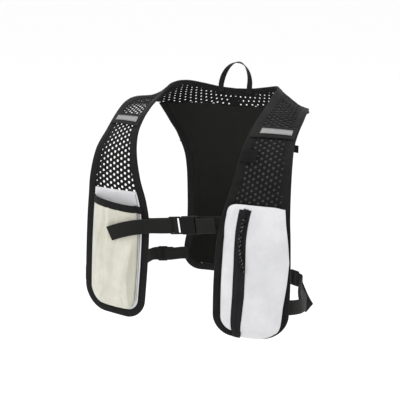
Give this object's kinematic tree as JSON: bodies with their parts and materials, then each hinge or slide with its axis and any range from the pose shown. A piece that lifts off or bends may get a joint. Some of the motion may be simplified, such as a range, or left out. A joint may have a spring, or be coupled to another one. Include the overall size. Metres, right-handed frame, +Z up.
{
  "type": "running hydration vest",
  "caption": "Close-fitting running vest with mesh shoulder straps, two front pockets, a chest strap with a buckle, side straps, a back panel with a pocket and a grab loop.",
  "frame": {"origin": "midway between the shoulder straps, level with their armhole edges, where the wearer's shoulders carry the vest", "axes": "+X to the wearer's left, -Y to the wearer's front, +Z up"},
  "size_m": [0.3114, 0.2436, 0.339],
  "materials": {
    "mesh_cloth": "open knitted mesh",
    "black_cloth": "plain woven cloth",
    "binding": "folded elastic binding",
    "webbing": "woven tape",
    "white_cloth": "light coated cloth",
    "cream_cloth": "light crinkled cloth",
    "reflective_tape": "smooth grey tape",
    "zip_tape": "woven zip tape",
    "zip_slider": "black",
    "cord": "braided",
    "buckle_plastic": "satin black"
  },
  "bodies": {
    "root": {"back_loop_left": "webbing", "back_loop_right": "webbing", "back_panel": "black_cloth", "back_pocket": "black_cloth", "back_pocket_binding": "binding", "back_yoke": "mesh_cloth", "binding_arm_left": "binding", "binding_arm_right": "binding", "binding_back_left": "binding", "binding_back_right": "binding", "binding_hem_left": "binding", "binding_hem_right": "binding", "binding_neck_left": "binding", "binding_neck_right": "binding", "binding_neckline": "binding", "binding_shoulder_left": "binding", "binding_shoulder_right": "binding", "chest_buckle_female": "buckle_plastic", "chest_buckle_male": "buckle_plastic", "chest_webbing_left": "webbing", "chest_webbing_right": "webbing", "cross_webbing_left": "webbing", "cross_webbing_right": "webbing", "flask_pocket_binding": "binding", "flask_pocket_right": "cream_cloth", "front_panel_left": "black_cloth", "front_panel_right": "white_cloth", "grab_loop": "webbing", "hose_keeper_left": "black_cloth", "reflective_tape_left": "reflective_tape", "reflective_tape_right": "reflective_tape", "side_lock_left": "buckle_plastic", "side_lock_right": "buckle_plastic", "side_tab_left": "webbing", "side_tab_right": "webbing", "side_webbing_left": "webbing", "side_webbing_right": "webbing", "side_zip_right": "white_cloth", "strap_mesh_left": "mesh_cloth", "strap_mesh_right": "mesh_cloth", "yoke_tape": "black_cloth", "zip_pocket_left": "white_cloth", "zip_pull_cord": "cord", "zip_slider_left": "zip_slider", "zip_tape_left": "zip_tape"}
  },
  "joints": []
}
